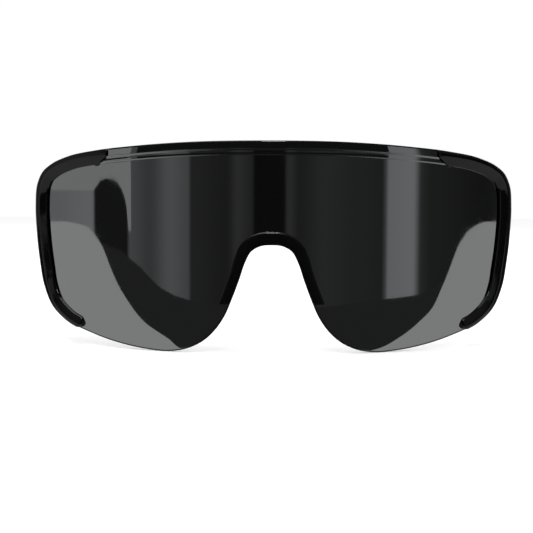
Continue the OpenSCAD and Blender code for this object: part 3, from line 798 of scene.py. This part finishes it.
def along(l, a):
    """A length back along a line that dips by the angle a, as y and z."""
    return l * np.array([math.cos(a), -math.sin(a)])


def across(l, a):
    """A length up from that line and square to it."""
    return l * np.array([math.sin(a), math.cos(a)])


bend_at = along(temple_l, temple_slope) - across(bend_r, temple_slope)
tail_at = bend_at + across(bend_r, tail_slope)
bend_l = bend_r * (tail_slope - temple_slope)
tail_l = (hinge_z + tail_at[1] - tip_end_r) / math.sin(tail_slope)
temple_end = temple_l + bend_l + tail_l


def arm_point(s, x, v):
    """The point at the length s along a temple's middle line, x beside its middle plane and v above it."""
    a = temple_slope + (tail_slope - temple_slope) * min(1.0, max(0.0, (s - temple_l) / bend_l))
    if s <= temple_l:
        middle = along(s, a)
    elif s <= temple_l + bend_l:
        middle = bend_at + across(bend_r, a)
    else:
        middle = tail_at + along(s - temple_l - bend_l, a)
    y, z = middle + across(v, a)
    return temple_place @ Vector((temple_x + x, y, z))


def arm_rings():
    """From the start, cut upright and flush with the end piece, to the end of the tongue inside the tip."""
    heights = [[0, 0.15 * bare_l, 0.45 * bare_l, 0.75 * bare_l, bare_l],
               [lug_h, 0.98 * lug_h, (neck_h + lug_h) / 2, neck_h + 0.12 * (lug_h - neck_h), neck_h]]
    marks = [share * bare_l for share in (0.15, 0.3, 0.45, 0.6, 0.75, 0.88)]
    begin = butt_gap / math.cos(temple_in) / math.cos(temple_slope)
    places = [(begin + on, less) for on, less in rounding(arm_edge)]
    places += [(s, 0) for s in stations(arm_step, bare_l - arm_edge / 3, arm_step, marks)]
    places += [(bare_l, arm_edge / 3)]
    lean, toe = math.tan(temple_slope), math.tan(temple_in) / math.cos(temple_slope)
    rings = []
    for s, less in places:
        h = float(np.interp(s, *heights)) / 2 - less
        t = (lug_t + (neck_t - lug_t) * s / bare_l) / 2 - less
        fade = max(0.0, 1 - s / cut_l)
        rings.append([arm_point(s - (v * lean + (temple_x + x) * toe) * fade, x, v)
                      for x, v in block_loop(-t, t, -h, h, arm_corner, 6)])
    tongue = block_loop(-0.31 * neck_t, 0.31 * neck_t, -0.3 * neck_h, 0.3 * neck_h, tongue_corner, 6)
    for s in stations(bare_l, temple_l - tip_end_r / 2, tongue_step):
        rings.append([arm_point(s, x, v) for x, v in tongue])
    return rings


points, faces = loft(arm_rings())
for side, arm in both_sides("side_arm", points, faces, gloss_nylon):
    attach(arm, f"{side}_arm")
    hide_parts(f"{side}_temple")

# Ear tips: soft black rubber sleeves over the tongue and the core wire, down to a round end that the
# glasses stand on. Moulded, of one section all along the bend, and drawn in a little towards the end.
tip_corner = 1.85 * MM
tip_edge = 0.5 * MM
tip_step = 1.2 * MM


def tree_with(name, inputs, result):
    """An empty tree of geometry nodes with these inputs and one result, and what it is given."""
    tree = bpy.data.node_groups.new(name, "GeometryNodeTree")
    for title, kind in inputs:
        tree.interface.new_socket(title, in_out="INPUT", socket_type=f"NodeSocket{kind}")
    tree.interface.new_socket(result, in_out="OUTPUT", socket_type="NodeSocketGeometry")
    return tree, add(tree, "NodeGroupInput").outputs


def sleeve_tree():
    """Geometry nodes that draw a rounded section along a path, by each place's shares of its two sizes."""
    tree, given = tree_with("ear tip sleeve", (
        ("Path", "Geometry"), ("Height", "Float"), ("Thickness", "Float"), ("Corner radius", "Float"),
        ("Corner steps", "Int"), ("Sideways", "Vector"), ("Rubber", "Material")), "Sleeve")
    here = add(tree, "GeometryNodeInputPosition")
    ahead = add(tree, "GeometryNodeInputTangent")
    line = add(tree, "GeometryNodeMeshToCurve", {"Mesh": given["Path"]})
    block = add(tree, "GeometryNodeCurvePrimitiveQuadrilateral",
                {"Width": given["Thickness"], "Height": given["Height"]}, mode="RECTANGLE")
    section = add(tree, "GeometryNodeFilletCurve", {
        "Curve": block, "Count": given["Corner steps"], "Radius": given["Corner radius"]}, mode="POLY")
    curves = {"Curve": line, "Profile Curve": section}
    for name, curve, value in (("middle", "Curve", here), ("ahead", "Curve", ahead),
                               ("beside", "Profile Curve", here)):
        curves[curve] = add(tree, "GeometryNodeStoreNamedAttribute",
                            {"Geometry": curves[curve], "Name": name, "Value": value},
                            data_type="FLOAT_VECTOR", domain="POINT")
    known = {}
    for name, kind in (("middle", "FLOAT_VECTOR"), ("ahead", "FLOAT_VECTOR"), ("beside", "FLOAT_VECTOR"),
                       ("thickness share", "FLOAT"), ("height share", "FLOAT")):
        known[name] = add(tree, "GeometryNodeInputNamedAttribute", {"Name": name}, data_type=kind)
    skin = add(tree, "GeometryNodeCurveToMesh", {**curves, "Fill Caps": True})
    up = add(tree, "ShaderNodeVectorMath", {0: known["ahead"], 1: given["Sideways"]},
             operation="CROSS_PRODUCT")
    beside = add(tree, "ShaderNodeSeparateXYZ", {0: known["beside"]}).outputs
    place = known["middle"]
    for way, reach, share in ((given["Sideways"], beside["X"], "thickness share"),
                              (up, beside["Y"], "height share")):
        length = add(tree, "ShaderNodeMath", {0: reach, 1: known[share]}, operation="MULTIPLY")
        place = add(tree, "ShaderNodeVectorMath", {0: way, 1: length, 2: place}, operation="MULTIPLY_ADD")
    drawn = add(tree, "GeometryNodeSetPosition", {"Geometry": skin, "Position": place})
    plain = add(tree, "GeometryNodeRealizeInstances", {"Geometry": drawn})
    dressed = add(tree, "GeometryNodeSetMaterial", {"Geometry": plain, "Material": given["Rubber"]})
    add(tree, "NodeGroupOutput", {"Sleeve": dressed})
    return tree


def settle(piece):
    """Gives a piece the plain mesh that its modifiers make, and takes them off."""
    plain = bpy.data.meshes.new_from_object(piece.evaluated_get(bpy.context.evaluated_depsgraph_get()))
    piece.modifiers.clear()
    piece.data = plain


def made_by(tree, name, mesh, values):
    """The plain object that a tree of geometry nodes makes from a mesh, its inputs set to values by name."""
    made = put(name, mesh)
    nodes = made.modifiers.new(tree.name, "NODES")
    nodes.node_group = tree
    for socket in tree.interface.items_tree:
        if socket.in_out == "INPUT" and socket.name in values:
            nodes[socket.identifier] = values[socket.name]
    settle(made)
    return made


def tip_path():
    """Lengths along the temple's line, with the shares of the sleeve's height and thickness at each."""
    start = bare_l + fit
    lengths = [bare_l, temple_l, temple_l + bend_l, temple_end]
    heights = [neck_h + tip_t - neck_t, tip_h, tip_h, 2 * tip_end_r]
    places = [(start - fit / 5, 2.4 * tip_edge, 1)]
    places += [(start + on, less, 1) for on, less in rounding(tip_edge, 5)]
    places += [(s, 0, 1) for s in stations(start + 2 * tip_edge, temple_end, tip_step, lengths[1:3])]
    places += [(temple_end + tip_end_r * math.sin(a), 0, math.cos(a)) for a in np.linspace(0, 1.48, 12)[1:]]
    for s, less, draw in places:
        high = (float(np.interp(s, lengths, heights)) - 2 * less) * draw / tip_h
        yield s, high, (1 - 2 * less / tip_t) * draw ** 0.6


# Soft rubber: a dull dark grey-black, mottled by handling, with the faint bloom that such rubber gets.
rubber, tree = blank_material("soft black rubber")
spot = add(tree, "ShaderNodeTexCoord").outputs["Object"]
grain = add(tree, "ShaderNodeTexNoise", {"Vector": spot, "Scale": 1 / (0.18 * MM), "Detail": 3.0})
bloom = add(tree, "ShaderNodeTexNoise", {
    "Vector": spot, "Scale": 1 / (6 * MM), "Detail": 5.0, "Roughness": 0.6})
tone = add(tree, "ShaderNodeMixRGB", {0: bloom, 1: paint("#151516"), 2: paint("#202022")})
rough = add(tree, "ShaderNodeMapRange", {0: bloom, 3: 0.6, 4: 0.75})
bump = add(tree, "ShaderNodeBump", {"Height": grain, "Strength": 0.4, "Distance": 0.02 * MM})
skin = add(tree, "ShaderNodeBsdfPrincipled", {
    "Base Color": tone, "IOR": 1.52, "Roughness": rough, "Normal": bump})
add(tree, "ShaderNodeOutputMaterial", {0: skin})

ear_sleeve = sleeve_tree()
lengths, heights, thicknesses = zip(*tip_path())
for side, sign in (("left", 1), ("right", -1)):
    mirror = Vector((sign, 1, 1))
    mesh = bpy.data.meshes.new(f"{side}_ear_tip")
    places = [arm_point(s, 0, 0) * mirror for s in lengths]
    mesh.from_pydata(places, [(k, k + 1) for k in range(len(places) - 1)], [])
    for share, values in (("height share", heights), ("thickness share", thicknesses)):
        mesh.attributes.new(share, "FLOAT", "POINT").data.foreach_set("value", values)
    sideways = Vector((math.cos(temple_in), math.sin(temple_in), 0)) * mirror
    tip = made_by(ear_sleeve, f"{side}_ear_tip", mesh, {
        "Height": tip_h, "Thickness": tip_t, "Corner radius": tip_corner, "Corner steps": 6,
        "Sideways": sideways, "Rubber": rubber})
    crisp(tip.data, [rubber])
    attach(tip, f"{side}_arm")
    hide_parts(f"{side}_temple_tip")

# Hinge leaves: plates of 0.9 mm stainless sheet, blanked, with their knuckles curled round the pin and
# brushed along the sheet. They keep their exact solids, and so do the core wires inside the tips.
# The brushing leaves fine streaks in the gloss, and handling a slightly darker tarnish in patches.
steel, tree = blank_material("brushed stainless steel")
spot = add(tree, "ShaderNodeTexCoord").outputs["Object"]
drawn = add(tree, "ShaderNodeMapping", {"Vector": spot, "Scale": (9, 1, 9)})
streak = add(tree, "ShaderNodeTexNoise", {"Vector": drawn, "Scale": 1 / (0.9 * MM), "Detail": 3.0})
patch = add(tree, "ShaderNodeTexNoise", {"Vector": spot, "Scale": 1 / (2.5 * MM), "Detail": 3.0})
tone = add(tree, "ShaderNodeMixRGB", {0: patch, 1: paint("#a3a19d"), 2: paint("#c0beb9")})
rough = add(tree, "ShaderNodeMapRange", {0: streak, 3: 0.25, 4: 0.45})
bump = add(tree, "ShaderNodeBump", {"Height": streak, "Strength": 0.4, "Distance": 0.005 * MM})
skin = add(tree, "ShaderNodeBsdfPrincipled", {
    "Base Color": tone, "Metallic": 1.0, "Roughness": rough, "Normal": bump})
add(tree, "ShaderNodeOutputMaterial", {0: skin})
for side in ("left", "right"):
    for kind in ("front_leaf", "temple_leaf", "core_wire"):
        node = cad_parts[f"{side}_{kind}"]
        node.data.materials.clear()
        node.data.materials.append(steel)

# Screws: turned stainless steel with a low domed head and a milled slot, each driven to its own stop.
# Two hold a rim on the lens from behind and two hold each leaf. A longer one is the hinge's pin, with its
# head on the upper knuckle.
screw_r = 0.6 * MM
screw_head_r = 1.1 * MM
screw_head_h = 0.5 * MM
rim_screw_places = (4, 10)
rim_screw_in = rim_web + 2.3 * screw_r
rim_under_head = 2 / 3 * rim_back
rim_screw_rest = 0.56 * MM
leaf_t = 0.9 * MM
leaf_l = 5.6 * MM
leaf_h = 8 * MM
leaf_grip = 2 / 3 * lug_t
leaf_screw_z = leaf_h / 2 - 1.5 * screw_head_r
knuckle_h = 2.4 * MM
pin_r = 0.7 * MM
pin_head_r = knuckle_r - 4 * fit
pin_head_h = knuckle_h / 3
drill_l = 4 * MM
weld = 0.002 * MM
screw_sharp = math.radians(25)

# Turned steel: bright, with the tool's fine marks as an uneven gloss and a trace of grime in patches.
turned_steel, tree = blank_material("turned stainless steel")
spot = add(tree, "ShaderNodeTexCoord").outputs["Object"]
marks = add(tree, "ShaderNodeTexNoise", {"Vector": spot, "Scale": 1 / (0.15 * MM), "Detail": 2.0})
grime = add(tree, "ShaderNodeTexNoise", {"Vector": spot, "Scale": 1 / (0.8 * MM), "Detail": 3.0})
tone = add(tree, "ShaderNodeMixRGB", {0: grime, 1: paint("#9b9995"), 2: paint("#c6c4c0")})
rough = add(tree, "ShaderNodeMapRange", {0: marks, 3: 0.18, 4: 0.36})
skin = add(tree, "ShaderNodeBsdfPrincipled", {"Base Color": tone, "Metallic": 1.0, "Roughness": rough})
add(tree, "ShaderNodeOutputMaterial", {0: skin})


def screw_tree():
    """Geometry nodes that set a screw on every vertex, its seat at the vertex and its head to the facing."""
    sizes = ("Head radius", "Head height", "Shank radius", "Shank length", "Slot width", "Slot depth")
    tree, given = tree_with("slotted screws", (
        ("Seats", "Geometry"), *((size, "Float") for size in sizes), ("Turn seed", "Int"),
        ("Steel", "Material")), "Screws")
    wide, tall, thin, long, slot_wide, slot_deep = (given[size] for size in sizes)

    # Lengths worked out from the sizes, each a size times a factor and another length added
    half_tall, dome_r, dome_z, rod_l, slot_l, slot_h = (
        add(tree, "ShaderNodeMath", {0: size, 1: factor, 2: more}, operation="MULTIPLY_ADD")
        for size, factor, more in ((tall, 0.5, 0.0), (wide, 2.0, 0.0), (wide, -2.0, tall), (tall, 0.5, long),
                                   (wide, 3.0, 0.0), (slot_deep, 2.0, 0.0)))
    rod_z = add(tree, "ShaderNodeMath", {0: rod_l, 1: -0.5, 2: half_tall}, operation="MULTIPLY_ADD")
    slot_size = add(tree, "ShaderNodeCombineXYZ", {0: slot_l, 1: slot_wide, 2: slot_h})

    # A disc with a domed top, the shank below it, and a block that cuts the slot, each lifted to its height
    solids = []
    for kind, inputs, z in (
            ("GeometryNodeMeshCylinder", {"Vertices": 40, "Radius": wide, "Depth": tall}, half_tall),
            ("GeometryNodeMeshUVSphere", {"Segments": 48, "Rings": 48, "Radius": dome_r}, dome_z),
            ("GeometryNodeMeshCylinder", {"Vertices": 32, "Radius": thin, "Depth": rod_l}, rod_z),
            ("GeometryNodeMeshCube", {"Size": slot_size}, tall)):
        solid = add(tree, kind, inputs)
        lift = add(tree, "ShaderNodeCombineXYZ", {"Z": z})
        solids.append(add(tree, "GeometryNodeTransform", {"Geometry": solid, "Translation": lift}))
    disc, dome, rod, slot = solids
    head = add(tree, "GeometryNodeMeshBoolean", {"Mesh 2": [disc, dome]}, operation="INTERSECT",
               solver="MANIFOLD")
    whole = add(tree, "GeometryNodeMeshBoolean", {"Mesh 2": [head, rod]}, operation="UNION",
                solver="MANIFOLD")
    slotted = add(tree, "GeometryNodeMeshBoolean", {"Mesh 1": whole, "Mesh 2": slot},
                  operation="DIFFERENCE", solver="MANIFOLD")
    clean = add(tree, "GeometryNodeMergeByDistance", {"Geometry": slotted, "Distance": weld})

    # Its turn about its own axis is random, as each screw stops where it is tight
    facing = add(tree, "GeometryNodeInputNamedAttribute", {"Name": "facing"}, data_type="FLOAT_VECTOR")
    aimed = add(tree, "FunctionNodeAlignRotationToVector", {"Vector": facing}, axis="Z")
    stop = add(tree, "FunctionNodeRandomValue", {3: math.tau, 8: given["Turn seed"]}, data_type="FLOAT")
    about = add(tree, "ShaderNodeCombineXYZ", {"Z": stop.outputs[1]})
    driven = add(tree, "FunctionNodeEulerToRotation", {0: about})
    turned = add(tree, "FunctionNodeRotateRotation", {"Rotation": aimed, "Rotate By": driven},
                 rotation_space="LOCAL")
    placed = add(tree, "GeometryNodeInstanceOnPoints", {
        "Points": given["Seats"], "Instance": clean, "Rotation": turned})
    plain = add(tree, "GeometryNodeRealizeInstances", {"Geometry": placed})
    dressed = add(tree, "GeometryNodeSetMaterial", {"Geometry": plain, "Material": given["Steel"]})
    add(tree, "NodeGroupOutput", {"Screws": dressed})
    return tree


slotted_screws = screw_tree()


def sink(piece, seats, radius):
    """Sinks a round hole into a piece at each screw's seat, out towards the side that the head faces."""
    drills = bmesh.new()
    for place, way in seats:
        turned = way.to_track_quat("Z", "Y").to_matrix().to_4x4()
        bmesh.ops.create_cone(drills, cap_ends=True, segments=40, radius1=radius, radius2=radius,
                              depth=drill_l, matrix=Matrix.Translation(place + drill_l / 2 * way) @ turned)
    cutter = put("drills", bpy.data.meshes.new("drills"))
    drills.to_mesh(cutter.data)
    drills.free()
    bore = piece.modifiers.new("holes", "BOOLEAN")
    bore.operation, bore.solver, bore.object = "DIFFERENCE", "MANIFOLD", cutter
    settle(piece)
    bpy.data.objects.remove(cutter)
    crisp(piece.data, [gloss_nylon])


def set_screws(name, seats, values):
    """One plain mesh of screws, whose seats are pairs of a place and the way that the head faces."""
    mesh = bpy.data.meshes.new(name)
    mesh.from_pydata([place for place, way in seats], [], [])
    facing = mesh.attributes.new("facing", "FLOAT_VECTOR", "POINT")
    facing.data.foreach_set("vector", [v for place, way in seats for v in way])
    made = made_by(slotted_screws, name, mesh, values)
    crisp(made.data, [turned_steel], screw_sharp)
    return made


def rim_seat(k):
    """The seat of a rim's screw beside the place k of the edge, with its head towards the face."""
    u = run[np.linalg.norm(edge - edge_places[k], axis=1).argmin()]
    x, z = edge_at(u, rim_screw_in)
    turn = math.asin(x / wrap_r)
    out = Vector((math.sin(turn), -math.cos(turn), 0))
    return Vector((0, lens_face_y + wrap_r, z)) + (wrap_r - lens_t - rim_under_head - fit) * out, -out


def leaf_seat(way, level):
    """The seat of a leaf's screw, in front of the pin (-1) or behind it (1), low (-1) or high (1)."""
    turned = Matrix.Rotation(max(0, way) * temple_in, 3, "Z")
    back = way * (knuckle_r + 0.55 * leaf_l)
    place = turned @ Vector((knuckle_r + fit - leaf_t, back, level * leaf_screw_z))
    return Vector((hinge_x, hinge_y, hinge_z)) + place, turned @ Vector((-1, 0, 0))


short = {"Head radius": screw_head_r, "Head height": screw_head_h, "Shank radius": screw_r,
         "Slot width": 0.3 * MM, "Slot depth": 0.22 * MM}
pin = {"Head radius": pin_head_r, "Head height": pin_head_h, "Shank radius": pin_r,
       "Shank length": 3 * knuckle_h, "Slot width": 0.4 * MM, "Slot depth": 0.35 * MM}
pin_seat = (Vector((hinge_x, hinge_y, hinge_z + 1.5 * knuckle_h + fit / 2)), Vector((0, 0, 1)))
through_rim = {"Shank length": lens_t + rim_under_head + rim_screw_rest, **short}
through_leaf = {"Shank length": leaf_t + leaf_grip, **short}
rim_seats = [rim_seat(k) for k in rim_screw_places]
front_seats, arm_seats = ([leaf_seat(way, level) for level in (-1, 1)] for way in (-1, 1))
screw_kinds = (("rim_screws", "lens_screws", "front", rim_seats, through_rim),
               ("front_leaf_bolts", "front_leaf_screws", "front", front_seats, through_leaf),
               ("arm_leaf_bolts", "temple_leaf_screws", "arm", arm_seats, through_leaf),
               ("hinge_pin", "hinge_screw", "arm", [pin_seat], pin))
for seed, side, sign in ((7, "left", 1), (8, "right", -1)):
    for kind, node, body, seats, sizes in screw_kinds:
        mirror = Vector((sign, 1, 1))
        seats = [(place * mirror, way * mirror) for place, way in seats]
        screws = set_screws(f"{side}_{kind}", seats, {**sizes, "Turn seed": seed, "Steel": turned_steel})
        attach(screws, body if body == "front" else f"{side}_arm")
        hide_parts(f"{side}_{node}")
        if kind == "rim_screws":
            sink(rims[side], seats, screw_head_r + fit)

size = [list(map(float, corner)) for corner in (*cad_box, *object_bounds())]
